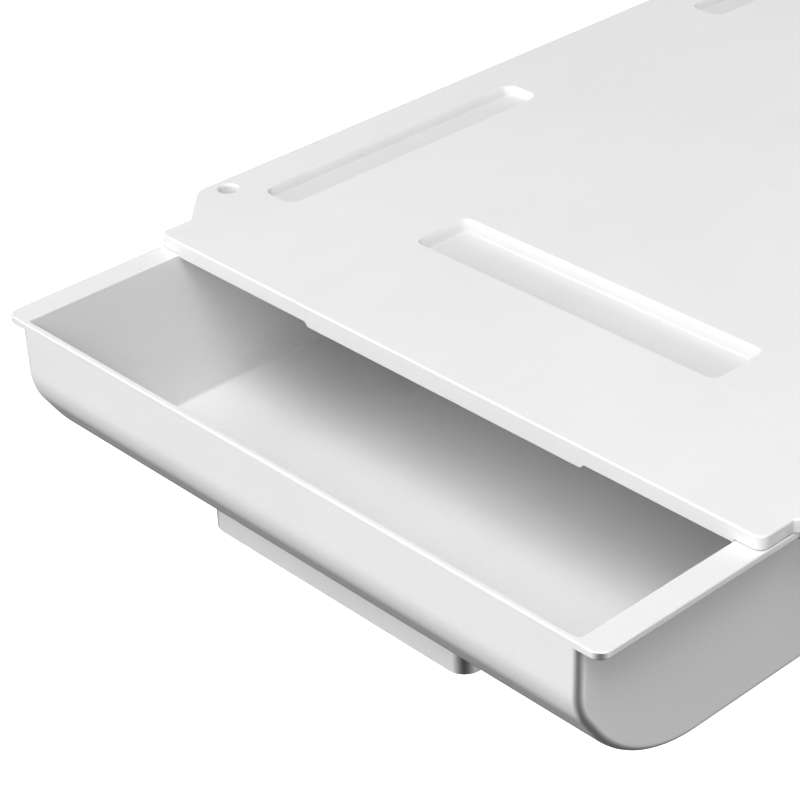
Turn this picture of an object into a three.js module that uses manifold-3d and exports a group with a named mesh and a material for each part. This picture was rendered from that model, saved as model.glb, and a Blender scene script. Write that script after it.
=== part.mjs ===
// Under desk drawer: a mounting plate that fastens under a desk, two guide rails screwed
// beneath its ears, and a shallow tray that hangs in the rails and slides out to the front.
// Millimetres, +Z up. The origin is the centre of the plate's top face, which meets the desk.
// The tray pulls out towards -Y. It is drawn partly open, resting on the rails' ledges.
import * as THREE from 'three';
import * as BufferGeometryUtils from 'three/addons/utils/BufferGeometryUtils.js';
import Module from 'manifold-3d';

const wasm = await Module();
wasm.setup();

// ---- Driving dimensions ----

const running_gap = 0.3;            // between pieces that slide past each other
const seat_gap = 0.1;               // between pieces that are fastened together
const past = 1;                     // how far a cut runs on past the face it opens

const plate_depth = 400;
const plate_nose_width = 241;       // the front and back ends, flush with the tray's rim
const plate_ear_width = 269;        // across the two ears
const plate_nose_length = 12.5;     // from the plate's end to where the ear starts
const plate_thickness = 4.3;
const plate_corner_radius = 3;
const plate_skin = 2.4;             // left above the cored pockets underneath
const ear_chamfer_length = 14.5;    // the ear widens over this length
const ear_corner_radius = 6;
const ear_hole_radius = 3;          // for a desk screw
const ear_hole_x = 128.3;
const ear_hole_y = 165.6;

const skirt_half_length = 111;      // the front edge hangs lower between the tray's side walls
const skirt_bottom = -5.2;
const skirt_thickness = 2.2;
const lip_x = 3.5;                  // the lip is the lowest stretch of the front edge
const lip_half_length = 55;
const lip_bottom = -6.6;
const lip_slope = 1;                // the slope at each end of the lip

const side_recess = { depth: 3.1, x: 112, width: 14, y: 103, length: 112, radius: 4 };
const middle_recess = { depth: 4.2, x: 1.5, width: 120, y: 138.5, length: 22, radius: 3 };
const boss_wall = 1.6;              // around and under the deeper middle recesses

const core_columns = 5;             // cored pockets under the plate, between ribs
const core_rows = 8;
const core_half_width = 102;
const core_half_depth = 195;
const rib_thickness = 2;

const tray_opening = 58.7;          // how far the tray is drawn out of its place under the plate
const tray_length = 380;
const rim_top = -4.6;
const rim_thickness = 1.9;
const rim_drop = 2.7;               // the rim's turned-down edge
const rim_edge_thickness = 1.5;
const rim_corner_radius = 4;
const tray_wall = 2.1;
const tray_bottom = -58.4;
const tray_half_top = 113.6;        // outside the side walls, at the rim
const tray_half_bottom = 112.4;
const tray_bend_z = -26.9;          // the front wall bends back here, into a slope
const tray_bend_radius = 20;
const tray_slope = THREE.MathUtils.degToRad(34);
const tray_front_radius = 47.2;     // the slope's sweep into the floor
const tray_back_radius = 10;
const tray_edge_radius = 3;
const back_wall_top = -5.6;         // clears the front edge of the plate
const notch_half_width = 68;        // the back wall is lower here, to pass the lip and bosses
const notch_bottom = -7.8;

const pull_x = 0.3;
const pull_half_length = 53.8;
const pull_bottom = -58;
const pull_setback = 18.5;          // from the tray's front face
const pull_depth = 17;
const pull_wall = 2.4;
const pull_roof = 1.2;              // the bonded layer that follows the tray's sweep
const pull_corner_radius = 6;

const rail_half_length = 183;
const rail_web_inner = 121;
const rail_web_thickness = 2.4;
const rail_ledge_top = rim_top - rim_drop - running_gap;
const rail_ledge_thickness = 2.4;
const rail_ledge_inner = 116.6;
const rail_stop_inner = 114.1;      // the ledge is wider here, to stop the tray's catch
const rail_stop_y = -95;
const rail_end_wall = 2;
const tab_length = 16;
const tab_outer = 133;
const tab_thickness = 2.5;
const tab_places = [-140, -47, 47, 140];

const screw_x = 128.4;
const screw_shank_radius = 1.45;
const screw_reach = 5.6;            // under the head
const screw_tip = 0.9;
const screw_head_radius = 2.9;
const screw_head_height = 2;
const screw_drive_width = 0.8;
const screw_drive_length = 3.2;
const screw_drive_depth = 1.1;
const pilot_clearance = 0.05;       // around the shank in the plate
const tab_hole_clearance = 0.2;     // around the shank in the rail's tab

const catch_length = 12;
const catch_outer = 116.3;
const catch_inner = 113.8;
const catch_height = 3.2;
const catch_peg_radius = 1.6;

// ---- Places that follow from them ----

const half_depth = plate_depth / 2;
const plate_front = -half_depth;
const tray_front = plate_front - tray_opening;
const tray_back = tray_front + tray_length;
const underside = -plate_thickness;
const head_seat = underside - 1.5 * seat_gap - tab_thickness;
const catch_y = tray_back - catch_length;
const catch_z = rim_top - rim_thickness - seat_gap - catch_height / 2;
const arc_steps = 10;
const right = 1;
const left = -1;

// ---- Shapes ----

// The direction from one corner to the next.
function towards(corner, [x, y]) {
  return new THREE.Vector2(x, y).sub(corner).normalize();
}

// A closed outline through the corners [x, y, radius], each rounded with its own radius.
function rounded_outline(corners) {
  const shape = new THREE.Shape();
  corners.forEach(([x, y, radius = 0], i) => {
    const corner = new THREE.Vector2(x, y);
    const before = towards(corner, corners.at(i - 1));
    const after = towards(corner, corners[(i + 1) % corners.length]);
    const half_angle = Math.acos(THREE.MathUtils.clamp(before.dot(after), -1, 1)) / 2;
    const reach = radius / Math.tan(half_angle);
    const steps = radius > 0 ? arc_steps : 0;
    const inwards = before.clone().add(after).normalize();
    const centre = corner.clone().addScaledVector(inwards, radius / Math.sin(half_angle));
    const start = corner.clone().addScaledVector(before, reach).sub(centre);
    const end = corner.clone().addScaledVector(after, reach).sub(centre);
    const turn = Math.atan2(start.cross(end), start.dot(end));
    for (let step = 0; step <= steps; step += 1) {
      const angle = steps ? (turn * step) / steps : 0;
      const point = start.clone().rotateAround(new THREE.Vector2(), angle).add(centre);
      if (i === 0 && step === 0) {
        shape.moveTo(point.x, point.y);
      } else {
        shape.lineTo(point.x, point.y);
      }
    }
  });
  return shape;
}

// A rectangle's outline, from its low and high sides, with one radius on every corner.
function rectangle(x_low, x_high, y_low, y_high, radius = 0) {
  return rounded_outline([
    [x_low, y_low, radius],
    [x_high, y_low, radius],
    [x_high, y_high, radius],
    [x_low, y_high, radius],
  ]);
}

// ---- Solids ----

// Turns a closed geometry into a manifold solid.
function solid_of(geometry) {
  const bare = geometry.clone();
  bare.deleteAttribute('normal');
  bare.deleteAttribute('uv');
  const merged = BufferGeometryUtils.mergeVertices(bare, 1e-4);
  return new wasm.Manifold(new wasm.Mesh({
    numProp: 3,
    vertProperties: new Float32Array(merged.attributes.position.array),
    triVerts: new Uint32Array(merged.index.array),
  }));
}

// Turns a manifold solid back into a geometry.
function geometry_of(solid) {
  const mesh = solid.getMesh();
  const geometry = new THREE.BufferGeometry();
  geometry.setAttribute('position', new THREE.BufferAttribute(mesh.vertProperties, 3));
  geometry.setIndex(new THREE.BufferAttribute(mesh.triVerts, 1));
  geometry.computeVertexNormals();
  return geometry;
}

function extrusion(shape, length) {
  return new THREE.ExtrudeGeometry(shape, { depth: length, bevelEnabled: false, steps: 1 });
}

// An outline in X and Y, raised from z_low to z_high.
function slab(shape, z_low, z_high) {
  return solid_of(extrusion(shape, z_high - z_low).translate(0, 0, z_low));
}

// A profile in Y and Z, run along X.
function run_along_x(shape, x_low, x_high) {
  const geometry = extrusion(shape, x_high - x_low).translate(0, 0, x_low);
  const axes = new THREE.Matrix4().makeBasis(
    new THREE.Vector3(0, 1, 0), new THREE.Vector3(0, 0, 1), new THREE.Vector3(1, 0, 0));
  return solid_of(geometry.applyMatrix4(axes));
}

// A profile in X and Z, run along Y.
function run_along_y(shape, y_low, y_high) {
  const geometry = extrusion(shape, y_high - y_low).translate(0, 0, -y_high);
  const axes = new THREE.Matrix4().makeBasis(
    new THREE.Vector3(1, 0, 0), new THREE.Vector3(0, 0, 1), new THREE.Vector3(0, -1, 0));
  return solid_of(geometry.applyMatrix4(axes));
}

function block(x_low, x_high, y_low, y_high, z_low, z_high) {
  return slab(rectangle(x_low, x_high, y_low, y_high), z_low, z_high);
}

// An upright round bar between two heights.
function upright_bar(radius, x, y, z_low, z_high, segments = 24) {
  const geometry = new THREE.CylinderGeometry(radius, radius, z_high - z_low, segments);
  geometry.rotateX(Math.PI / 2).translate(x, y, (z_low + z_high) / 2);
  return solid_of(geometry);
}

// A level round bar along X.
function level_bar(radius, x_low, x_high, y, z, segments = 16) {
  const geometry = new THREE.CylinderGeometry(radius, radius, x_high - x_low, segments);
  geometry.rotateZ(Math.PI / 2).translate((x_low + x_high) / 2, y, z);
  return solid_of(geometry);
}

function joined(solids) {
  return solids.reduce((whole, part) => whole.add(part));
}

// The low and high x of a stretch between two distances from the middle, on the given side.
function span(side, near, far) {
  return [side * near, side * far].sort((a, b) => a - b);
}

// A block between two distances from the middle, on the given side.
function side_block(side, near, far, y_low, y_high, z_low, z_high) {
  return block(...span(side, near, far), y_low, y_high, z_low, z_high);
}

// ---- Mounting plate ----

// The plate's outline: narrow ends, and ears that widen behind each end's corners.
function plate_outline() {
  const nose = plate_nose_width / 2;
  const ear = plate_ear_width / 2;
  const ear_start = half_depth - plate_nose_length;
  const ear_full = ear_start - ear_chamfer_length;
  const quarter = [
    [nose, half_depth, plate_corner_radius],
    [nose, ear_start, 1],
    [ear, ear_full, ear_corner_radius],
  ];
  const mirror = (points, sx, sy) => points.map(([x, y, radius]) => [sx * x, sy * y, radius]);
  return rounded_outline([
    ...mirror(quarter, 1, -1),
    ...mirror(quarter, 1, 1).reverse(),
    ...mirror(quarter, -1, 1),
    ...mirror(quarter, -1, -1).reverse(),
  ]);
}

function core_pockets() {
  const width = (2 * core_half_width - (core_columns - 1) * rib_thickness) / core_columns;
  const length = (2 * core_half_depth - (core_rows - 1) * rib_thickness) / core_rows;
  const pockets = [];
  for (let column = 0; column < core_columns; column += 1) {
    for (let row = 0; row < core_rows; row += 1) {
      const x = -core_half_width + column * (width + rib_thickness);
      const y = -core_half_depth + row * (length + rib_thickness);
      pockets.push(block(x, x + width, y, y + length, underside - past, -plate_skin));
    }
  }
  return joined(pockets);
}

// A shallow pocket in the top face, centred at x and y.
function recess(size, x, y) {
  const shape = rectangle(
    x - size.width / 2, x + size.width / 2, y - size.length / 2, y + size.length / 2, size.radius);
  return slab(shape, -size.depth, past);
}

function mounting_plate() {
  const boss_half_width = middle_recess.width / 2 + boss_wall;
  const boss_half_length = middle_recess.length / 2 + boss_wall;
  let plate = slab(plate_outline(), underside, 0).subtract(core_pockets());
  for (const end of [-1, 1]) {
    const boss = rectangle(
      middle_recess.x - boss_half_width, middle_recess.x + boss_half_width,
      end * middle_recess.y - boss_half_length, end * middle_recess.y + boss_half_length,
      middle_recess.radius + boss_wall);
    plate = plate.add(slab(boss, -middle_recess.depth - boss_wall, -plate_skin / 2));
    plate = plate.subtract(recess(middle_recess, middle_recess.x, end * middle_recess.y));
    for (const side of [left, right]) {
      plate = plate.subtract(recess(side_recess, side * side_recess.x, end * side_recess.y));
      plate = plate.subtract(upright_bar(
        ear_hole_radius, side * ear_hole_x, end * ear_hole_y, underside - past, past, 32));
    }
  }
  const skirt_root = underside + plate_skin / 2;
  const skirt_profile = rounded_outline([
    [-skirt_half_length, skirt_root],
    [-skirt_half_length, skirt_bottom],
    [lip_x - lip_half_length - lip_slope, skirt_bottom],
    [lip_x - lip_half_length, lip_bottom],
    [lip_x + lip_half_length, lip_bottom],
    [lip_x + lip_half_length + lip_slope, skirt_bottom],
    [skirt_half_length, skirt_bottom],
    [skirt_half_length, skirt_root],
  ]);
  plate = plate.add(run_along_y(skirt_profile, plate_front, plate_front + skirt_thickness));
  const pilot_top = head_seat + screw_reach + 0.3;
  for (const side of [left, right]) {
    for (const y of tab_places) {
      plate = plate.subtract(upright_bar(
        screw_shank_radius + pilot_clearance, side * screw_x, y, underside - past, pilot_top, 16));
    }
  }
  return plate;
}

// ---- Guide rails ----

// The rail hangs under the ear: an upright web, a ledge that carries the tray's rim,
// and tabs that turn outwards under the ear for the screws.
function guide_rail(side) {
  const web_top = underside - seat_gap;
  const web_outer = rail_web_inner + rail_web_thickness;
  const ledge_bottom = rail_ledge_top - rail_ledge_thickness;
  const front = -rail_half_length;
  const back = rail_half_length;
  const end_wall = back - rail_end_wall;
  const parts = [
    side_block(side, rail_web_inner, web_outer, front, back, ledge_bottom, web_top),
    side_block(side, rail_ledge_inner, web_outer, front, back, ledge_bottom, rail_ledge_top),
    side_block(side, rail_stop_inner, web_outer, front, rail_stop_y, ledge_bottom, rail_ledge_top),
    side_block(side, rail_ledge_inner, web_outer, end_wall, back, ledge_bottom, web_top),
  ];
  for (const y of tab_places) {
    parts.push(side_block(side, rail_web_inner + rail_web_thickness / 2, tab_outer,
      y - tab_length / 2, y + tab_length / 2, web_top - tab_thickness, web_top));
  }
  let rail = joined(parts);
  for (const y of tab_places) {
    rail = rail.subtract(upright_bar(screw_shank_radius + tab_hole_clearance,
      side * screw_x, y, web_top - tab_thickness - past, web_top + past, 16));
  }
  return rail;
}

// A pan-head screw with a cross drive, pointing up, with the underside of its head at z = 0.
function rail_screw() {
  const profile = [
    [0, -screw_head_height],
    [screw_head_radius - 1.1, -screw_head_height],
    [screw_head_radius - 0.3, -screw_head_height / 2],
    [screw_head_radius, -screw_head_height / 4],
    [screw_head_radius, 0],
    [screw_shank_radius, 0],
    [screw_shank_radius, screw_reach - screw_tip],
    [screw_shank_radius / 2, screw_reach],
    [0, screw_reach],
  ].map(([radius, z]) => new THREE.Vector2(radius, z));
  const body = solid_of(new THREE.LatheGeometry(profile, 20).rotateX(Math.PI / 2));
  const width = screw_drive_width / 2;
  const length = screw_drive_length / 2;
  const drive_low = -screw_head_height - past;
  const drive_high = -screw_head_height + screw_drive_depth;
  const slot = block(-length, length, -width, width, drive_low, drive_high);
  const cross_slot = block(-width, width, -length, length, drive_low, drive_high);
  return body.subtract(slot.add(cross_slot));
}

// ---- Tray ----

// The tray's body without its rim, shrunk by inset on every side: its side view, front view
// and plan, each run through and kept where all three meet.
function tray_body(inset, top) {
  const front = tray_front + inset;
  const back = tray_back - inset;
  const bottom = tray_bottom + inset;
  const bend_z = tray_bend_z + inset * Math.tan(tray_slope / 2);
  const toe = front + (bend_z - bottom) * Math.tan(tray_slope);
  const side_view = rounded_outline([
    [front, top],
    [front, bend_z, tray_bend_radius - inset],
    [toe, bottom, tray_front_radius - inset],
    [back, bottom, Math.max(tray_back_radius - inset, 1)],
    [back, top],
  ]);
  const half_top = tray_half_top - inset;
  const half_bottom = tray_half_bottom - inset;
  const edge = Math.max(tray_edge_radius - inset, 1);
  const front_view = rounded_outline([
    [-half_bottom, bottom, edge],
    [half_bottom, bottom, edge],
    [half_top, top],
    [-half_top, top],
  ]);
  const plan = rectangle(-half_top, half_top, front, back, edge);
  return run_along_x(side_view, -half_top, half_top)
    .intersect(run_along_y(front_view, front, back))
    .intersect(slab(plan, bottom, top));
}

function tray() {
  const half_rim = plate_nose_width / 2;
  const rim = slab(rectangle(-half_rim, half_rim, tray_front, tray_back, rim_corner_radius),
    rim_top - rim_drop, rim_top);
  const under_rim = slab(
    rectangle(-half_rim + rim_edge_thickness, half_rim - rim_edge_thickness,
      tray_front + rim_edge_thickness, tray_back + past, rim_corner_radius),
    rim_top - rim_drop - past, rim_top - rim_thickness);
  const inner_half = tray_half_top - tray_wall;
  const cut_front = tray_back - tray_wall - past;
  const cut_back = tray_back + past;
  const cut_top = rim_top + past;
  const back_cut = block(-inner_half, inner_half, cut_front, cut_back, back_wall_top, cut_top);
  const notch = block(
    -notch_half_width, notch_half_width, cut_front, cut_back, notch_bottom, cut_top);
  const body = rim.subtract(under_rim)
    .add(tray_body(0, rim_top))
    .subtract(tray_body(tray_wall, cut_top))
    .subtract(back_cut)
    .subtract(notch);
  const peg_holes = [left, right].map((side) => level_bar(
    catch_peg_radius + seat_gap, ...span(side, inner_half - past, tray_half_top + past),
    catch_y, catch_z));
  return body.subtract(joined(peg_holes));
}

// ---- Catches and pull ----

// A small block beside the tray's wall, under its rim, with a peg through the wall.
// It meets the wide part of the rail's ledge when the tray is fully out.
function stop_catch(side) {
  const body = side_block(side, catch_inner, catch_outer,
    catch_y - catch_length / 2, catch_y + catch_length / 2,
    catch_z - catch_height / 2, catch_z + catch_height / 2);
  const peg_end = tray_half_top - tray_wall + seat_gap;
  const peg_root = (catch_inner + catch_outer) / 2;
  const peg = level_bar(catch_peg_radius, ...span(side, peg_end, peg_root), catch_y, catch_z);
  return body.add(peg);
}

// A hood under the tray's swept front, bonded to it and nearly flush with the tray's bottom.
// Fingers reach up behind its front wall from below.
function finger_pull() {
  const front = tray_front + pull_setback;
  const back = front + pull_depth;
  const low = pull_x - pull_half_length;
  const high = pull_x + pull_half_length;
  const outer = rounded_outline([
    [low, front, pull_corner_radius],
    [high, front, pull_corner_radius],
    [high, back, 1],
    [low, back, 1],
  ]);
  const inner = rounded_outline([
    [low + pull_wall, front + pull_wall, pull_corner_radius - pull_wall],
    [high - pull_wall, front + pull_wall, pull_corner_radius - pull_wall],
    [high - pull_wall, back + past],
    [low + pull_wall, back + past],
  ]);
  const sweep_top = tray_bottom + tray_front_radius / 2;
  const hollow = slab(inner, pull_bottom - past, sweep_top)
    .subtract(tray_body(-pull_roof, rim_top));
  return slab(outer, pull_bottom, sweep_top)
    .subtract(tray_body(-seat_gap, rim_top))
    .subtract(hollow);
}

// ---- The assembly ----

function plastic(colour, roughness) {
  return new THREE.MeshStandardMaterial({ color: colour, roughness, metalness: 0 });
}

function piece(name, solid, material) {
  const mesh = new THREE.Mesh(geometry_of(solid), material);
  mesh.name = name;
  return mesh;
}

const drawer = new THREE.Group();
drawer.add(piece('mounting_plate', mounting_plate(), plastic(0xf4f4f3, 0.45)));
drawer.add(piece('tray', tray(), plastic(0xf2f2f1, 0.4)));
drawer.add(piece('finger_pull', finger_pull(), plastic(0xf0f0ef, 0.45)));

for (const [side, side_name] of [[left, 'left'], [right, 'right']]) {
  drawer.add(piece(`${side_name}_guide_rail`, guide_rail(side), plastic(0xeeeeec, 0.5)));
  drawer.add(piece(`${side_name}_stop_catch`, stop_catch(side), plastic(0xe9e9e7, 0.5)));
  tab_places.forEach((y, i) => {
    const steel = new THREE.MeshStandardMaterial({ color: 0xb9babc, roughness: 0.35, metalness: 1 });
    const screw = piece(`${side_name}_rail_screw_${i + 1}`, rail_screw(), steel);
    screw.position.set(side * screw_x, y, head_seat);
    drawer.add(screw);
  });
}

export default drawer;
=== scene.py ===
"""An under desk drawer: a mounting plate, guide rails, and a shallow tray that slides out in front.

Lengths in the mesh code are millimetres, in the frame's own axes: +Z up to the desk, -Y to the
front. Each piece is scaled to metres when it is finished. Lengths of the camera, the stage and
the lights are metres.
"""

import math

import bmesh
import bpy
from mathutils import Matrix, Vector


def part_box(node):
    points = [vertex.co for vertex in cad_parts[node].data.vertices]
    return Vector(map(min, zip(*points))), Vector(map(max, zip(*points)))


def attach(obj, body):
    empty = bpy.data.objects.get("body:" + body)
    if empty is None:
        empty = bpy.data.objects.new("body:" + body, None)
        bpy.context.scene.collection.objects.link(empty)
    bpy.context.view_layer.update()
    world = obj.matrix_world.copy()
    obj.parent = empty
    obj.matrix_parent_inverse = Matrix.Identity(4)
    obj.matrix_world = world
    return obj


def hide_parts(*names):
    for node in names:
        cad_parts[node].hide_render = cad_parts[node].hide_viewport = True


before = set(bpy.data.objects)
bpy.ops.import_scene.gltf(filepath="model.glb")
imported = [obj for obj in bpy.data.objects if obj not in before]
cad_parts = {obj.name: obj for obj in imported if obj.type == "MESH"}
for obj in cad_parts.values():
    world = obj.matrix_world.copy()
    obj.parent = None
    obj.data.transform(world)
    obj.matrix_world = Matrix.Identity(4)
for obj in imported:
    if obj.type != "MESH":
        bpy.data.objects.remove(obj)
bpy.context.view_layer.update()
scene = bpy.context.scene

MM = 0.001


def node_box(name):
    """A CAD node's low and high corners, in millimetres."""
    low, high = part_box(name)
    return low / MM, high / MM


# ---- Outlines ----

LEAST_COSINE = 0.3                 # of half a corner's turn, so a sharp corner isn't moved too far


def outline(corners, steps=8):
    """Closed outline through (u, v, radius) corners, anticlockwise, each rounded with its radius."""
    points = []
    for i, (u, v, radius) in enumerate(corners):
        corner = Vector((u, v))
        if radius <= 0:
            points.append(corner)
            continue
        before = (Vector(corners[i - 1][:2]) - corner).normalized()
        after = (Vector(corners[(i + 1) % len(corners)][:2]) - corner).normalized()
        half = before.angle(after) / 2
        centre = corner + (before + after).normalized() * (radius / math.sin(half))
        start = corner + before * (radius / math.tan(half)) - centre
        end = corner + after * (radius / math.tan(half)) - centre
        turn = math.atan2(start.x * end.y - start.y * end.x, start.dot(end))
        for k in range(steps + 1):
            angle = turn * k / steps
            points.append(centre + Matrix.Rotation(angle, 2) @ start)
    return points


def rectangle(u_low, u_high, v_low, v_high, radius=0.0, steps=8):
    return outline([
        (u_low, v_low, radius), (u_high, v_low, radius),
        (u_high, v_high, radius), (u_low, v_high, radius)], steps)


def circle(u, v, radius, steps=40):
    angles = [2 * math.pi * k / steps for k in range(steps)]
    return [Vector((u + radius * math.cos(a), v + radius * math.sin(a))) for a in angles]


def inset(points, distance):
    """The outline with every side moved inwards by distance."""
    moved = []
    for i, point in enumerate(points):
        before = (point - points[i - 1]).normalized()
        after = (points[(i + 1) % len(points)] - point).normalized()
        normal_before = Vector((-before.y, before.x))
        normal_after = Vector((-after.y, after.x))
        middle = (normal_before + normal_after).normalized()
        cosine = max(middle.dot(normal_before), LEAST_COSINE)
        moved.append(point + middle * (distance / cosine))
    return moved


# ---- Solids ----

MOUTH_TURN = math.radians(78)      # how far a pocket's rounded mouth turns out
CUT_RISE, CUT_FLARE = 0.1, 0.4     # then the cutter flares clear of the face
CUT_TOP = 1.0


def rounded(low, high, low_radius, high_radius, steps=4):
    """Levels (height, inset) of a solid whose bottom and top edges are rounded."""
    levels = []
    for k in range(steps + 1 if low_radius else 1):
        angle = math.pi / 2 * k / steps
        levels.append((low + low_radius * (1 - math.cos(angle)), low_radius * (1 - math.sin(angle))))
    for k in range(steps + 1 if high_radius else 1):
        angle = math.pi / 2 * k / steps
        levels.append((high - high_radius * (1 - math.sin(angle)), high_radius * (1 - math.cos(angle))))
    return levels


def flared(floor, mouth, floor_radius, mouth_radius, draft=0.0, steps=5):
    """Levels of a cutter for a pocket: a fillet at its floor, a rounded edge at its mouth."""
    levels = []
    for k in range(steps + 1):
        angle = math.pi / 2 * k / steps
        levels.append((
            floor + floor_radius * (1 - math.cos(angle)),
            draft + floor_radius * (1 - math.sin(angle))))
    for k in range(steps + 1):
        angle = MOUTH_TURN * k / steps
        levels.append((
            mouth - mouth_radius * (1 - math.sin(angle)), -mouth_radius * (1 - math.cos(angle))))
    height, last = levels[-1]
    levels.append((height + CUT_RISE, last - CUT_FLARE))
    levels.append((height + CUT_TOP, last - CUT_FLARE))
    return levels


def loft(rings):
    """A closed solid through rings of points, all with the same count, from low to high."""
    bm = bmesh.new()
    rows = [[bm.verts.new(point) for point in ring] for ring in rings]
    count = len(rings[0])
    for low, high in zip(rows, rows[1:]):
        for i in range(count):
            j = (i + 1) % count
            bm.faces.new((low[i], low[j], high[j], high[i]))
    bm.faces.new(list(reversed(rows[0])))
    bm.faces.new(rows[-1])
    return bm


AXES = {
    "z": lambda u, v, w: (u, v, w),
    "y": lambda u, v, w: (-u, w, v),
    "x": lambda u, v, w: (w, u, v),
}


def extrude(points, levels, axis="z"):
    """An outline run along an axis, inset at each level. Along Y the outline's u runs to -X."""
    place = AXES[axis]
    return loft([[place(p.x, p.y, level) for p in inset(points, amount)] for level, amount in levels])


def block(x_low, x_high, y_low, y_high, z_low, z_high, radius=0.4, edge=0.3):
    points = rectangle(x_low, x_high, y_low, y_high, radius, 4)
    return extrude(points, rounded(z_low, z_high, edge, edge, 3))


def flipped(bm):
    """Turns a solid upside down about z = 0."""
    bmesh.ops.scale(bm, vec=(1, 1, -1), verts=bm.verts)
    bmesh.ops.reverse_faces(bm, faces=bm.faces)
    return bm


def mirrored_left(made):
    """The left-hand copy of a right-hand piece."""
    made.data.transform(Matrix.Scale(-1, 4, (1, 0, 0)))
    made.data.flip_normals()


def merged(parts):
    """Several solids that don't touch, as one mesh."""
    whole = bmesh.new()
    for part in parts:
        mesh = bpy.data.meshes.new("part")
        part.to_mesh(mesh)
        part.free()
        whole.from_mesh(mesh)
        bpy.data.meshes.remove(mesh)
    return whole


def as_object(bm, name="solid"):
    mesh = bpy.data.meshes.new(name)
    bm.to_mesh(mesh)
    bm.free()
    made = bpy.data.objects.new(name, mesh)
    scene.collection.objects.link(made)
    return made


def as_tool(made):
    """An object's mesh as a solid to join or cut with; the object is used up."""
    bm = bmesh.new()
    bm.from_mesh(made.data)
    bpy.data.objects.remove(made)
    return bm


def combine(base, tool, operation):
    """base joined with tool or cut by it; tool is used up."""
    tool = as_object(tool)
    modifier = base.modifiers.new("combine", "BOOLEAN")
    modifier.operation = operation
    modifier.solver = "MANIFOLD"
    modifier.object = tool
    shaped = base.evaluated_get(bpy.context.evaluated_depsgraph_get())
    mesh = bpy.data.meshes.new_from_object(shaped)
    base.modifiers.clear()
    base.data = mesh
    bpy.data.objects.remove(tool)


def join(base, tool):
    combine(base, tool, "UNION")


def cut(base, tool):
    combine(base, tool, "DIFFERENCE")


WELD_DISTANCE = 0.002
SLIVER_LENGTH = 0.001
FLAT_ANGLE = math.radians(0.05)    # faces that meet at less than this become one
SHARP_ANGLE = math.radians(32)     # edges that turn more than this stay sharp
NORMAL_WEIGHT = 100                # large faces decide the shading of the small ones beside them


def finish_piece(made, name, body, node, material):
    """Cleans a solid, scales it to metres and hangs it in the frame in its node's place."""
    bm = bmesh.new()
    bm.from_mesh(made.data)
    bmesh.ops.remove_doubles(bm, verts=bm.verts, dist=WELD_DISTANCE)
    bmesh.ops.dissolve_degenerate(bm, dist=SLIVER_LENGTH, edges=bm.edges)
    bmesh.ops.dissolve_limit(
        bm, angle_limit=FLAT_ANGLE, verts=bm.verts, edges=bm.edges, delimit={"NORMAL"})
    for edge in bm.edges:
        edge.smooth = not (edge.is_manifold and edge.calc_face_angle(0) > SHARP_ANGLE)
    for face in bm.faces:
        face.smooth = True
    bmesh.ops.scale(bm, vec=(MM, MM, MM), verts=bm.verts)
    bm.to_mesh(made.data)
    bm.free()
    made.name = name
    made.data.name = name
    weighted = made.modifiers.new("weighted_normals", "WEIGHTED_NORMAL")
    weighted.keep_sharp = True
    weighted.weight = NORMAL_WEIGHT
    made.data.materials.clear()
    made.data.materials.append(material)
    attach(made, body)
    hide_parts(node)


# ---- Materials ----


def add(tree, kind, place, **settings):
    """A shader node at a place in the node editor."""
    node = tree.nodes.new(kind)
    node.location = place
    for name, value in settings.items():
        setattr(node, name, value)
    return node


def noise(tree, coordinates, scale, detail, place, stretch=None):
    """Noise in the piece's own space, with its scale per metre."""
    source = coordinates
    if stretch:
        mapping = add(tree, "ShaderNodeMapping", (place[0] - 200, place[1]))
        mapping.inputs["Scale"].default_value = stretch
        tree.links.new(coordinates, mapping.inputs["Vector"])
        source = mapping.outputs["Vector"]
    node = add(tree, "ShaderNodeTexNoise", place)
    node.inputs["Scale"].default_value = scale
    node.inputs["Detail"].default_value = detail
    tree.links.new(source, node.inputs["Vector"])
    return node.outputs["Fac"]


def spread(tree, value, low, high, place, from_low=0.3, from_high=0.7):
    """Maps a value, by default one from a noise, to a range."""
    node = add(tree, "ShaderNodeMapRange", place)
    node.inputs["From Min"].default_value = from_low
    node.inputs["From Max"].default_value = from_high
    node.inputs["To Min"].default_value = low
    node.inputs["To Max"].default_value = high
    tree.links.new(value, node.inputs["Value"])
    return node.outputs["Result"]


def combine_values(tree, operation, a, b, place):
    """One result from two values, each a number or another node's output."""
    node = add(tree, "ShaderNodeMath", place, operation=operation)
    for socket, value in zip(node.inputs, (a, b)):
        if isinstance(value, (int, float)):
            socket.default_value = value
        else:
            tree.links.new(value, socket)
    return node.outputs["Value"]


EDGE_TURN = 0.04, 0.25             # no painted shade, and full painted shade, halfway round an edge
SWEEP_TURN = 0.72, 0.93            # full painted shade, and no painted shade, by a face's largest axis part
OUTSIDE_FACING = -0.4, -0.1        # full painted shade, and no painted shade, by how far a face is to the front or underneath
                                   # or underneath
POCKET_DEPTHS = -0.0028, -0.0003   # metres: full painted shade in a recess, and none at the top face
POCKET_REACH = (("X", 0.122), ("Y", 0.19))     # metres from the middle, short of the plate's edges
POCKET_MARGIN = 0.001


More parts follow.
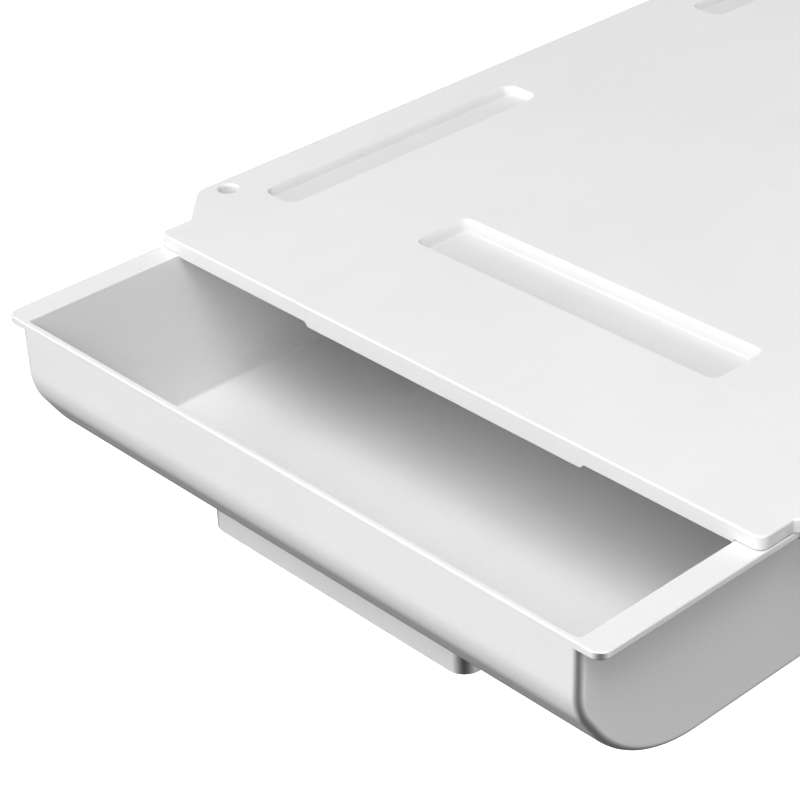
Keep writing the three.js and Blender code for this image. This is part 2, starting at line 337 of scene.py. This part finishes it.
def painted_turn_shade(tree, place):
    """Painted shade, standing in for shadow: how far a face on the outside or underside is
    turned between the piece's own axes, on the rounded corners, the lower edges and the sweep
    under the front."""
    x, y = place
    normal = add(tree, "ShaderNodeNewGeometry", (x, y)).outputs["Normal"]
    own = add(tree, "ShaderNodeVectorTransform", (x + 200, y), vector_type="NORMAL",
              convert_from="WORLD", convert_to="OBJECT")
    tree.links.new(normal, own.inputs["Vector"])
    parts = add(tree, "ShaderNodeSeparateXYZ", (x + 400, y))
    tree.links.new(own.outputs["Vector"], parts.inputs["Vector"])
    across, along, up = (
        combine_values(tree, "ABSOLUTE", parts.outputs[axis], 0.0, (x + 600, y - 150 * k))
        for k, axis in enumerate("XYZ"))

    # Painted shade towards the sides: strongest halfway round an edge.
    squared = combine_values(tree, "MULTIPLY", across, across, (x + 800, y + 300))
    rest = combine_values(tree, "SUBTRACT", 1.0, squared, (x + 1000, y + 300))
    sideways = combine_values(tree, "MULTIPLY", squared, rest, (x + 1200, y + 300))
    sideways = spread(tree, sideways, 0, 1, (x + 1400, y + 300), *EDGE_TURN)

    # Painted shade down the sweep: only where it has turned well under.
    largest = combine_values(tree, "MAXIMUM", across, combine_values(
        tree, "MAXIMUM", along, up, (x + 800, y)), (x + 1000, y))
    under = spread(tree, largest, 1, 0, (x + 1200, y), *SWEEP_TURN)

    turned = combine_values(tree, "MAXIMUM", sideways, under, (x + 1600, y))
    facing = combine_values(tree, "ADD", parts.outputs["Y"], parts.outputs["Z"], (x + 600, y + 150))
    outside = spread(tree, facing, 1, 0, (x + 800, y + 150), *OUTSIDE_FACING)
    return combine_values(tree, "MULTIPLY", turned, outside, (x + 1800, y))


def painted_pocket_shade(tree, coordinates, place):
    """Painted shade for the recesses of a plate's top: how deep a face lies in them, inside its
    edges and screw holes.
    """
    x, y = place
    parts = add(tree, "ShaderNodeSeparateXYZ", (x, y))
    tree.links.new(coordinates, parts.inputs["Vector"])
    deep = spread(tree, parts.outputs["Z"], 1, 0, (x + 200, y), *POCKET_DEPTHS)
    for k, (axis, reach) in enumerate(POCKET_REACH):
        row = y - 200 - 200 * k
        distance = combine_values(tree, "ABSOLUTE", parts.outputs[axis], 0.0, (x + 200, row))
        within = spread(tree, distance, 1, 0, (x + 400, row), reach, reach + POCKET_MARGIN)
        deep = combine_values(tree, "MULTIPLY", deep, within, (x + 600 + 200 * k, y))
    return deep


PLASTIC_IOR = 1.49
GRAIN_HEIGHT = 0.00003             # metres


def plastic(name, white, roughness, grain=1.0, turned=0.0, pocket=0.0):
    """White moulded plastic: a fine moulded grain, faint flow marks and clouding, and edges
    that are rubbed a little smoother and lighter. turned and pocket are how much painted shade,
    standing in for shadow, darkens its turned faces and its recesses."""
    material = bpy.data.materials.new(name)
    material.use_nodes = True
    tree = material.node_tree
    shader = tree.nodes["Principled BSDF"]
    shader.inputs["IOR"].default_value = PLASTIC_IOR
    coordinates = add(tree, "ShaderNodeTexCoord", (-1500, 0)).outputs["Object"]

    clouding = noise(tree, coordinates, 14, 2, (-1200, 500))
    flow = noise(tree, coordinates, 60, 3, (-1200, 250), stretch=(1.0, 0.25, 1.0))
    speckle = noise(tree, coordinates, 1400, 2, (-1200, 0))
    edge = add(tree, "ShaderNodeNewGeometry", (-1200, -250)).outputs["Pointiness"]
    wear = spread(tree, edge, 0, 1, (-1000, -250), 0.52, 0.6)

    shade = spread(tree, clouding, 0.985, 1.01, (-1000, 500))
    streaks = spread(tree, flow, 0.99, 1.006, (-1000, 250))
    shade = combine_values(tree, "MULTIPLY", shade, streaks, (-800, 400))
    specks = spread(tree, speckle, 0.975, 1.015, (-1000, 0))
    shade = combine_values(tree, "MULTIPLY", shade, specks, (-600, 400))
    lighter = combine_values(tree, "MULTIPLY", wear, 0.012, (-800, -250))
    shade = combine_values(tree, "ADD", shade, lighter, (-400, 400))
    # painted shade: the turned faces are darkened as if shadow lay on them
    if turned:
        darker = spread(tree, painted_turn_shade(tree, (-2200, 900)), 1, 1 - turned, (-400, 900), 0, 1)
        shade = combine_values(tree, "MULTIPLY", shade, darker, (-300, 600))
    # painted shade: the recesses are darkened as if shadow lay in them
    if pocket:
        deep = painted_pocket_shade(tree, coordinates, (-1600, 1500))
        darker = spread(tree, deep, 1, 1 - pocket, (-500, 1500), 0, 1)
        shade = combine_values(tree, "MULTIPLY", shade, darker, (-300, 1200))
    tint = add(tree, "ShaderNodeVectorMath", (-200, 400), operation="SCALE")
    tint.inputs[0].default_value = (white, white, white)
    tree.links.new(shade, tint.inputs["Scale"])
    tree.links.new(tint.outputs["Vector"], shader.inputs["Base Color"])

    rough = spread(tree, speckle, roughness - 0.05, roughness + 0.05, (-800, 0))
    patchy = spread(tree, clouding, -0.03, 0.03, (-800, 150))
    rough = combine_values(tree, "ADD", rough, patchy, (-600, 0))
    smoother = combine_values(tree, "MULTIPLY", wear, 0.08, (-600, -250))
    rough = combine_values(tree, "SUBTRACT", rough, smoother, (-400, 0))
    tree.links.new(rough, shader.inputs["Roughness"])

    fine = noise(tree, coordinates, 2400, 3, (-1200, -500))
    broad = noise(tree, coordinates, 90, 1, (-1200, -700))
    waves = combine_values(tree, "MULTIPLY", broad, 2.0, (-900, -700))
    relief = combine_values(tree, "ADD", fine, waves, (-700, -500))
    bump = add(tree, "ShaderNodeBump", (-400, -500))
    bump.inputs["Strength"].default_value = 0.35
    bump.inputs["Distance"].default_value = GRAIN_HEIGHT * grain
    tree.links.new(relief, bump.inputs["Height"])
    tree.links.new(bump.outputs["Normal"], shader.inputs["Normal"])
    return material


def plated_steel(name):
    """Bright zinc-plated steel, with fine turning marks and dull patches."""
    material = bpy.data.materials.new(name)
    material.use_nodes = True
    tree = material.node_tree
    shader = tree.nodes["Principled BSDF"]
    shader.inputs["Metallic"].default_value = 1.0
    coordinates = add(tree, "ShaderNodeTexCoord", (-1500, 0)).outputs["Object"]
    patches = noise(tree, coordinates, 500, 3, (-1200, 300))
    marks = noise(tree, coordinates, 900, 2, (-1200, 0), stretch=(1.0, 1.0, 9.0))
    shade = combine_values(
        tree, "MULTIPLY", spread(tree, patches, 0.86, 1.06, (-1000, 300)),
        spread(tree, marks, 0.94, 1.04, (-1000, 100)), (-700, 300))
    tint = add(tree, "ShaderNodeVectorMath", (-400, 300), operation="SCALE")
    tint.inputs[0].default_value = (0.62, 0.62, 0.64)
    tree.links.new(shade, tint.inputs["Scale"])
    tree.links.new(tint.outputs["Vector"], shader.inputs["Base Color"])
    rough = combine_values(
        tree, "ADD", spread(tree, patches, 0.22, 0.4, (-1000, -100)),
        spread(tree, marks, -0.05, 0.05, (-1000, -250)), (-700, -100))
    tree.links.new(rough, shader.inputs["Roughness"])
    bump = add(tree, "ShaderNodeBump", (-400, -300))
    bump.inputs["Strength"].default_value = 0.4
    bump.inputs["Distance"].default_value = 0.00002
    tree.links.new(marks, bump.inputs["Height"])
    tree.links.new(bump.outputs["Normal"], shader.inputs["Normal"])
    return material


# pocket paints shade into the plate's recesses
plate_plastic = plastic("plate_plastic", 0.83, 0.42, pocket=0.13)
# turned paints shade onto the tray's and the pull's rounded corners, lower edges and sweep
tray_plastic = plastic("tray_plastic", 0.83, 0.38, grain=0.6, turned=0.8)
pull_plastic = plastic("pull_plastic", 0.82, 0.5, grain=3.0, turned=0.9)
rail_plastic = plastic("rail_plastic", 0.78, 0.45)
catch_plastic = plastic("catch_plastic", 0.74, 0.45)
screw_steel = plated_steel("screw_steel")

# ---- Camera, at the drawer's front right, above ----

YAW, PITCH, ROLL = (math.radians(angle) for angle in (47.99, 31.30, -2.23))
CAMERA_PLACE = (0.43983, -0.60693, 0.35456)
SENSOR_WIDTH = 36
FOCAL_WIDTHS = 2491 / 800          # the focal length, in picture widths
camera = bpy.data.objects.new("camera", bpy.data.cameras.new("camera"))
scene.collection.objects.link(camera)
forward = Vector((
    -math.sin(YAW) * math.cos(PITCH), math.cos(YAW) * math.cos(PITCH), -math.sin(PITCH)))
level = Vector((math.cos(YAW), math.sin(YAW), 0))
upward = level.cross(forward)
side_axis = math.cos(ROLL) * level + math.sin(ROLL) * upward
up_axis = -math.sin(ROLL) * level + math.cos(ROLL) * upward
aim = Matrix((side_axis, up_axis, -forward)).transposed().to_4x4()
camera.matrix_world = Matrix.Translation(CAMERA_PLACE) @ aim
camera.data.sensor_width = SENSOR_WIDTH
camera.data.lens = FOCAL_WIDTHS * SENSOR_WIDTH
camera.data.clip_start = 0.05
camera.data.clip_end = 60
scene.camera = camera

# ---- Mounting plate ----

plate_low, plate_high = node_box("mounting_plate")
tray_low, tray_high = node_box("tray")
NOSE = tray_high.x                 # the plate's ends are flush with the tray's rim
EAR = plate_high.x
HALF_DEPTH = plate_high.y
NOSE_LENGTH = 12.5
EAR_CHAMFER = 14.5
PLATE_THICKNESS = 4.3
PLATE_SKIN = 2.4
HOLE_X, HOLE_Y, HOLE_RADIUS = 128.3, 165.6, 3.0
MIDDLE_X, MIDDLE_Y, MIDDLE_DEPTH = 1.5, 138.5, 4.2      # the recesses at the front and back
MIDDLE_WIDTH, MIDDLE_LENGTH, MIDDLE_CORNER = 120, 22, 3
SIDE_X, SIDE_Y, SIDE_DEPTH = 112, 103, 3.1              # the recesses along both sides
SIDE_WIDTH, SIDE_LENGTH, SIDE_CORNER = 14, 112, 4
BOSS_WALL = 1.6                    # around and under the deeper middle recesses
SKIRT_HALF, SKIRT_BOTTOM, SKIRT_THICKNESS = 111.4, -5.2, 2.2
SKIRT_ROOT = -3                    # inside the plate
LIP_X, LIP_HALF, LIP_BOTTOM = 3.5, 55, -6.6             # the lowest stretch of the skirt
TAB_PLACES = (-140, -47, 47, 140)
SCREW_X = 128.4
PILOT_RADIUS = 1.5
SIDES = ((-1, "left"), (1, "right"))


def mirrored(points, x_sign, y_sign):
    return [(x_sign * x, y_sign * y, radius) for x, y, radius in points]


def plate_outline():
    ear_start = HALF_DEPTH - NOSE_LENGTH
    quarter = [(NOSE, HALF_DEPTH, 3), (NOSE, ear_start, 1), (EAR, ear_start - EAR_CHAMFER, 6)]
    return outline([
        *mirrored(quarter, 1, -1), *reversed(mirrored(quarter, 1, 1)),
        *mirrored(quarter, -1, 1), *reversed(mirrored(quarter, -1, -1))])


def centred(x, y, width, length, radius):
    return rectangle(x - width / 2, x + width / 2, y - length / 2, y + length / 2, radius)


def core_cutters():
    """The shallow pockets between the ribs on the underside."""
    columns, rows, rib, half_width, half_depth = 5, 8, 2, 102, 195
    width = (2 * half_width - (columns - 1) * rib) / columns
    length = (2 * half_depth - (rows - 1) * rib) / rows
    cutters = []
    for column in range(columns):
        for row in range(rows):
            x = -half_width + column * (width + rib)
            y = -half_depth + row * (length + rib)
            shape = rectangle(x, x + width, y, y + length, 1.2, 4)
            levels = flared(PLATE_SKIN, PLATE_THICKNESS, 0.4, 0.2, steps=3)
            cutters.append(flipped(extrude(shape, levels)))
    return merged(cutters)


def top_cutters():
    """The recesses and screw holes, cut from the plate's top face."""
    cutters = []
    for end in (-1, 1):
        middle = centred(MIDDLE_X, end * MIDDLE_Y, MIDDLE_WIDTH, MIDDLE_LENGTH, MIDDLE_CORNER)
        cutters.append(extrude(middle, flared(-MIDDLE_DEPTH, 0, 0.7, 0.15, 1.1)))
        for side, _ in SIDES:
            shape = centred(side * SIDE_X, end * SIDE_Y, SIDE_WIDTH, SIDE_LENGTH, SIDE_CORNER)
            cutters.append(extrude(shape, flared(-SIDE_DEPTH, 0, 0.6, 0.15, 0.8)))
            hole = circle(side * HOLE_X, end * HOLE_Y, HOLE_RADIUS)
            levels = flared(-PLATE_THICKNESS - 1, 0, 0.001, 0.9)
            cutters.append(extrude(hole, levels))
    return merged(cutters)


def skirt_outline():
    """The skirt and lip under the front edge, to run along Y, so x is turned round."""
    lip_left, lip_right, slope = LIP_X - LIP_HALF, LIP_X + LIP_HALF, 1
    corners = [
        (SKIRT_HALF, SKIRT_ROOT, 0), (SKIRT_HALF, SKIRT_BOTTOM, 0.3),
        (lip_right + slope, SKIRT_BOTTOM, 0.8), (lip_right, LIP_BOTTOM, 0.5),
        (lip_left, LIP_BOTTOM, 0.5), (lip_left - slope, SKIRT_BOTTOM, 0.8),
        (-SKIRT_HALF, SKIRT_BOTTOM, 0.3), (-SKIRT_HALF, SKIRT_ROOT, 0)]
    return outline([(-x, z, radius) for x, z, radius in corners], 4)


def mounting_plate():
    plate = as_object(extrude(plate_outline(), rounded(-PLATE_THICKNESS, 0, 0.4, 0.6)))
    cut(plate, core_cutters())
    for end in (-1, 1):
        boss = centred(
            MIDDLE_X, end * MIDDLE_Y, MIDDLE_WIDTH + 2 * BOSS_WALL, MIDDLE_LENGTH + 2 * BOSS_WALL,
            MIDDLE_CORNER + BOSS_WALL)
        join(plate, extrude(boss, rounded(-MIDDLE_DEPTH - BOSS_WALL, -1, 0.5, 0.2)))
    skirt_levels = rounded(-HALF_DEPTH, -HALF_DEPTH + SKIRT_THICKNESS, 0.02, 0.4)
    join(plate, extrude(skirt_outline(), skirt_levels, "y"))
    cut(plate, top_cutters())
    pilots = [
        flipped(extrude(circle(side * SCREW_X, y, PILOT_RADIUS, 20), [(1.0, 0), (5.3, 0)]))
        for side, _ in SIDES for y in TAB_PLACES]
    cut(plate, merged(pilots))
    finish_piece(plate, "plate", "desk_mount", "mounting_plate", plate_plastic)


# ---- Tray ----

FRONT, BACK = tray_low.y, tray_high.y
RIM_TOP, BOTTOM = tray_high.z, tray_low.z
WALL = 2.1
BEND_HEIGHT, BEND_RADIUS = -26.9, 20.0
SLOPE = math.radians(34)
FRONT_RADIUS, BACK_RADIUS = 47.2, 10.0
EDGE_RADIUS = 3.0
HALF_TOP, HALF_BOTTOM = 113.6, 112.4
RIM_THICKNESS, RIM_DROP = 1.9, 2.7
RIM_CORNER, RIM_EDGE = 4.0, 1.5    # the corner's radius, and the turned-down edge's width
BACK_TOP = -5.6                    # the back wall clears the plate's front edge, and its notch
                                   # passes the lip and bosses
NOTCH_HALF, NOTCH_BOTTOM = 68, -7.8
CATCH_HOLE_RADIUS = 1.7


def tray_solid(amount, top, edge):
    """The tray's body as a full solid, shrunk by amount: its side view run across, with the
    edges round both sides rounded, and the sides drawn in towards the floor."""
    front, back, bottom = FRONT + amount, BACK - amount, BOTTOM + amount
    bend = BEND_HEIGHT + amount * math.tan(SLOPE / 2)
    toe = front + (bend - bottom) * math.tan(SLOPE)
    side_view = outline([
        (front, top, 0), (front, bend, BEND_RADIUS - amount), (toe, bottom, FRONT_RADIUS - amount),
        (back, bottom, max(BACK_RADIUS - amount, 1)), (back, top, 0)], 24)
    half = HALF_TOP - amount
    rings = []
    for level, shrink in rounded(-half, half, edge, edge, 6):
        ring = []
        for point, moved in zip(side_view, inset(side_view, shrink)):
            z = min(moved.y, top) if point.y < top else top
            lean = (HALF_TOP - HALF_BOTTOM) * (RIM_TOP - z) / (RIM_TOP - BOTTOM)
            ring.append((level * (1 - lean / HALF_TOP), moved.x, z))
        rings.append(ring)
    return loft(rings)


def tray():
    body = as_object(tray_solid(0, RIM_TOP - 0.6, EDGE_RADIUS))
    rim_outline = rectangle(-NOSE, NOSE, FRONT, BACK, RIM_CORNER)
    rim = as_object(extrude(rim_outline, rounded(RIM_TOP - RIM_DROP, RIM_TOP, 0.9, 0.5, 6)))
    channel = rectangle(-NOSE + RIM_EDGE, NOSE - RIM_EDGE, FRONT + RIM_EDGE, BACK + 3, 2, 4)
    cut(rim, extrude(channel, rounded(RIM_TOP - RIM_DROP - 2, RIM_TOP - RIM_THICKNESS, 0, 0.3)))
    join(body, as_tool(rim))
    cut(body, tray_solid(WALL, RIM_TOP + 1, 1.2))
    mouth = rectangle(-HALF_TOP + WALL, HALF_TOP - WALL, FRONT + WALL, BACK - WALL, 1.2)
    cut(body, extrude(mouth, flared(RIM_TOP - 1.6, RIM_TOP, 0.001, 0.5, 0.02)))
    inner = HALF_TOP - WALL
    through_back = [(BACK - WALL - 1, 0), (BACK + 1, 0)]
    back_profile = rectangle(-inner, inner, BACK_TOP, 3, 0.3, 4)
    cut(body, extrude(back_profile, through_back, "y"))
    notch_profile = rectangle(-NOTCH_HALF, NOTCH_HALF, NOTCH_BOTTOM, 3, 1.0, 4)
    cut(body, extrude(notch_profile, through_back, "y"))
    for side, name in SIDES:
        catch_low, catch_high = node_box(name + "_stop_catch")
        y = (catch_low.y + catch_high.y) / 2
        z = (catch_low.z + catch_high.z) / 2
        ends = sorted((side * 100, side * 115))
        hole = circle(y, z, CATCH_HOLE_RADIUS, 32)
        cut(body, extrude(hole, [(ends[0], 0), (ends[1], 0)], "x"))
    finish_piece(body, "tray", "drawer", "tray", tray_plastic)


# ---- Finger pull ----

PULL_CORNER, PULL_DEPTH = 6, 17


def finger_pull():
    """A hood under the tray's swept front, open underneath and behind."""
    low, high = node_box("finger_pull")
    wall, roof, top = 2.4, 1.2, BOTTOM + FRONT_RADIUS / 2
    plan = outline([
        (low.x, low.y, PULL_CORNER), (high.x, low.y, PULL_CORNER),
        (high.x, low.y + PULL_DEPTH, 1), (low.x, low.y + PULL_DEPTH, 1)])
    pull = as_object(extrude(plan, rounded(low.z, top, 0.5, 0)))
    cut(pull, tray_solid(-0.1, RIM_TOP, EDGE_RADIUS))
    room_corner, room_end = PULL_CORNER - wall, low.y + PULL_DEPTH + 2
    room = outline([
        (low.x + wall, low.y + wall, room_corner), (high.x - wall, low.y + wall, room_corner),
        (high.x - wall, room_end, 0), (low.x + wall, room_end, 0)])
    hollow = as_object(extrude(room, [(low.z - 1, -0.3), (low.z + 0.3, 0), (top + 1, 0)]))
    cut(hollow, tray_solid(-roof, RIM_TOP, EDGE_RADIUS))
    cut(pull, as_tool(hollow))
    finish_piece(pull, "pull", "drawer", "finger_pull", pull_plastic)


# ---- Guide rails, catches and screws ----

RUNNING_GAP = 0.3                  # between the rim's edge and the ledge
LEDGE_INNER, WEB_INNER, WEB_OUTER = 116.6, 121.0, 123.4
STOP_INNER, STOP_END = 114.1, -95  # the ledge is wider up to here, and stops the tray's catch
LEDGE_JOIN = 122.0                 # inside the web
TAB_INNER, TAB_OUTER = 121.6, 133
TAB_HALF, TAB_THICKNESS, TAB_HOLE_RADIUS = 8, 2.5, 1.65
CATCH_GAP = 0.2                    # between the tray's wall and the catch
PEG_RADIUS = 1.6


def guide_rail(side, name):
    """An upright web under the ear, a ledge that carries the tray's rim, and tabs for screws."""
    low, high = node_box(name + "_guide_rail")
    ledge_top, web_top, bottom = RIM_TOP - RIM_DROP - RUNNING_GAP, high.z, low.z
    profile = outline([
        (LEDGE_INNER, bottom, 0.3), (WEB_OUTER, bottom, 0.7), (WEB_OUTER, web_top, 0.3),
        (WEB_INNER, web_top, 0.3), (WEB_INNER, ledge_top, 0.5), (LEDGE_INNER, ledge_top, 0.5)], 4)
    profile = [Vector((-p.x, p.y)) for p in reversed(profile)]
    rail = as_object(extrude(profile, rounded(-high.y, high.y, 0.4, 0.4), "y"))
    join(rail, block(
        STOP_INNER, LEDGE_JOIN, -high.y, STOP_END, bottom + 0.02, ledge_top - 0.02, 1.0, 0.4))
    join(rail, block(
        LEDGE_INNER + 0.1, LEDGE_JOIN, high.y - 2, high.y - 0.02, bottom + 0.1, web_top - 0.05, 0.5))
    for y in TAB_PLACES:
        tab = rectangle(TAB_INNER, TAB_OUTER, y - TAB_HALF, y + TAB_HALF, 1.6, 5)
        join(rail, extrude(tab, rounded(web_top - TAB_THICKNESS, web_top - 0.02, 0.4, 0.3)))
    holes = [
        extrude(circle(SCREW_X, y, TAB_HOLE_RADIUS, 24), [(web_top - 4, 0), (web_top + 1, 0)])
        for y in TAB_PLACES]
    cut(rail, merged(holes))
    if side < 0:
        mirrored_left(rail)
    finish_piece(
        rail, name + "_rail", "desk_mount", name + "_guide_rail", rail_plastic)


def stop_catch(side, name):
    """A small block beside the tray's wall, under its rim, with a peg through the wall."""
    low, high = node_box(name + "_stop_catch")
    outer = high.x if side > 0 else -low.x
    inner = HALF_TOP + CATCH_GAP
    catch = as_object(block(inner, outer, low.y, high.y, low.z, high.z, 0.6, 0.4))
    y = (low.y + high.y) / 2
    z = (low.z + high.z) / 2
    tip = low.x if side > 0 else -high.x
    join(catch, extrude(circle(y, z, PEG_RADIUS, 32), rounded(tip, inner + 1, 0.25, 0), "x"))
    if side < 0:
        mirrored_left(catch)
    finish_piece(
        catch, name + "_catch", "drawer", name + "_stop_catch", catch_plastic)


def turned_solid(profile, x, y, z, steps=48):
    """A solid of revolution about an upright axis, from (radius, height) pairs, low to high."""
    rings = []
    for radius, height in profile:
        rings.append([(x + p.x, y + p.y, z + height) for p in circle(0, 0, radius, steps)])
    return loft(rings)


def rail_screw(name):
    """A pan-head screw that points up, with a rounded cross recess and a thread."""
    low, high = node_box(name)
    x, y = (low.x + high.x) / 2, (low.y + high.y) / 2
    head, reach = 2.0, 5.6
    seat = low.z + head
    profile = [(1.2, -head), (1.9, -head + 0.08), (2.4, -head + 0.35), (2.72, -head + 0.75),
               (2.87, -head + 1.3), (2.9, -head + 1.7), (2.88, -0.1), (2.8, 0.0),
               (1.45, 0.02), (1.42, 0.3)]
    pitch, height, core, crest = 1.0, 0.7, 1.12, 1.42
    while height < reach - 1.2:
        profile += [
            (core, height - 0.3), (crest, height - 0.06),
            (crest, height + 0.06), (core, height + 0.3)]
        height += pitch
    profile += [(1.1, reach - 0.9), (0.65, reach - 0.3), (0.15, reach)]
    screw = as_object(turned_solid(profile, x, y, seat))
    bottom, top = low.z - 1, low.z + 1.1
    for length, width in ((3.2, 0.8), (0.8, 3.2)):
        shape = centred(x, y, length, width, 0.25)
        cut(screw, extrude(shape, [(bottom, -0.12), (low.z, -0.05), (top, 0.14)]))
    finish_piece(
        screw, name.replace("rail_screw", "screw"), "desk_mount", name, screw_steel)


mounting_plate()
tray()
finger_pull()
for side, side_name in SIDES:
    guide_rail(side, side_name)
    stop_catch(side, side_name)
    for number in range(1, len(TAB_PLACES) + 1):
        rail_screw(f"{side_name}_rail_screw_{number}")

# ---- Floor, backdrop and light ----

FLOOR_HEIGHT = -2.0
STAGE_HALF = 8.0


def white_surface(name):
    """An evenly lit white surface behind the drawer."""
    material = bpy.data.materials.new(name)
    material.use_nodes = True
    shader = material.node_tree.nodes["Principled BSDF"]
    shader.inputs["Base Color"].default_value = (0.9, 0.9, 0.9, 1)
    shader.inputs["Roughness"].default_value = 0.9
    shader.inputs["Emission Color"].default_value = (1, 1, 1, 1)
    shader.inputs["Emission Strength"].default_value = 1.0
    return material


def stage_piece(name, vertices, faces):
    """A part of the stage, which neither lights nor shades the drawer."""
    mesh = bpy.data.meshes.new(name)
    mesh.from_pydata(vertices, [], faces)
    mesh.materials.append(white_surface(name))
    made = bpy.data.objects.new(name, mesh)
    scene.collection.objects.link(made)
    made.visible_diffuse = False
    made.visible_glossy = False
    made.visible_shadow = False


corners = [(-1, -1), (1, -1), (1, 1), (-1, 1)]
floor_ring, low_ring, high_ring = (
    [(x * STAGE_HALF, y * STAGE_HALF, height) for x, y in corners]
    for height in (FLOOR_HEIGHT, -STAGE_HALF, STAGE_HALF))
stage_piece("floor", floor_ring, [(0, 1, 2, 3)])
stage_piece("backdrop", low_ring + high_ring, [
    (0, 4, 5, 1), (1, 5, 6, 2), (2, 6, 7, 3), (3, 7, 4, 0), (4, 7, 6, 5), (0, 1, 2, 3)])

SKY_HIGH, SKY_LOW = 0.143, 0.26    # light from above, and light thrown up from below
HORIZON = -0.12, 0.02              # the band where one turns into the other
world = bpy.data.worlds.new("studio")
scene.world = world
world.use_nodes = True
sky = world.node_tree
direction = add(sky, "ShaderNodeTexCoord", (-900, 0)).outputs["Generated"]
split = add(sky, "ShaderNodeSeparateXYZ", (-700, 0))
sky.links.new(direction, split.inputs["Vector"])
lit = spread(sky, split.outputs["Z"], SKY_LOW, SKY_HIGH, (-500, 0), *HORIZON)
sky.links.new(lit, sky.nodes["Background"].inputs["Strength"])
sky.nodes["Background"].inputs["Color"].default_value = (1, 1, 1, 1)

OBJECT_CENTRE = Vector((0.0, -0.15, -0.03))
SOFTBOX_DISTANCE = 3.6
SOFTBOX_SIZE = 1.65


def softbox(name, azimuth, elevation, power):
    """A square area light that faces the drawer. Azimuth is to the right of the front."""
    lamp = bpy.data.lights.new(name, "AREA")
    lamp.shape = "RECTANGLE"
    lamp.size = SOFTBOX_SIZE
    lamp.size_y = SOFTBOX_SIZE
    lamp.energy = power
    made = bpy.data.objects.new(name, lamp)
    scene.collection.objects.link(made)
    a, e = math.radians(azimuth), math.radians(elevation)
    away = Vector((math.sin(a) * math.cos(e), -math.cos(a) * math.cos(e), math.sin(e)))
    made.location = OBJECT_CENTRE + away * SOFTBOX_DISTANCE
    made.rotation_mode = "QUATERNION"
    made.rotation_quaternion = (-away).to_track_quat("-Z", "Y")


SOFTBOXES = [
    ("key", 40, 62, 79),
    ("key_fill", 0, 62, 13),
    ("middle_fill", 20, 45, 17),
    ("left_fill", -45, 30, 39),
    ("right_fill", 45, 30, 25),
    ("front_fill", 0, 5, 26.5),
    ("side_fill", 90, 5, 11),
]
for settings in SOFTBOXES:
    softbox(*settings)

scene.view_settings.view_transform = "Standard"
scene.view_settings.look = "None"
